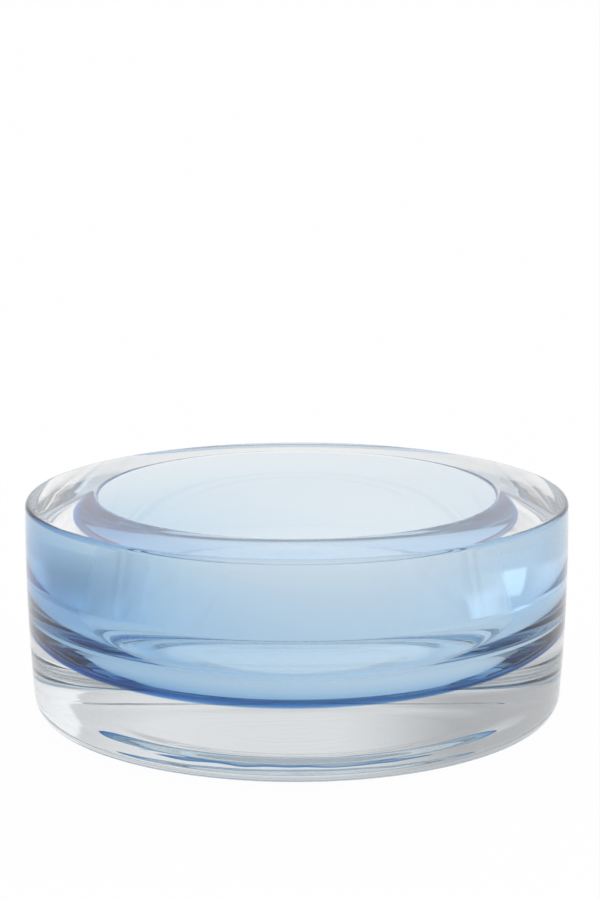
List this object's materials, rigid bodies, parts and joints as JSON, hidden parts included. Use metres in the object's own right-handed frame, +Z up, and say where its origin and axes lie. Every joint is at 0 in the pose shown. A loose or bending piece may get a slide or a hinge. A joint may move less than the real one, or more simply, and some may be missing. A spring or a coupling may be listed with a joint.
{
  "type": "floating candle bowl",
  "caption": "Low round bowl for floating candles, of thick clear glass with a thin blue glass lining, a wide crowned rim and a heavy clear base.",
  "frame": {"origin": "Centre of the foot, on the plane that the bowl stands on.", "axes": "+Z runs up the bowl's axis, from the foot to the mouth. +X and +Y are level; the bowl is the same all round, so neither points at a feature."},
  "size_m": [0.2, 0.2, 0.0802],
  "materials": {
    "clear_glass": "fire-polished, clear and colourless",
    "blue_glass": "fire-polished, transparent blue"
  },
  "bodies": {
    "root": {"clear_casing": "clear_glass", "blue_lining": "blue_glass"}
  },
  "joints": []
}
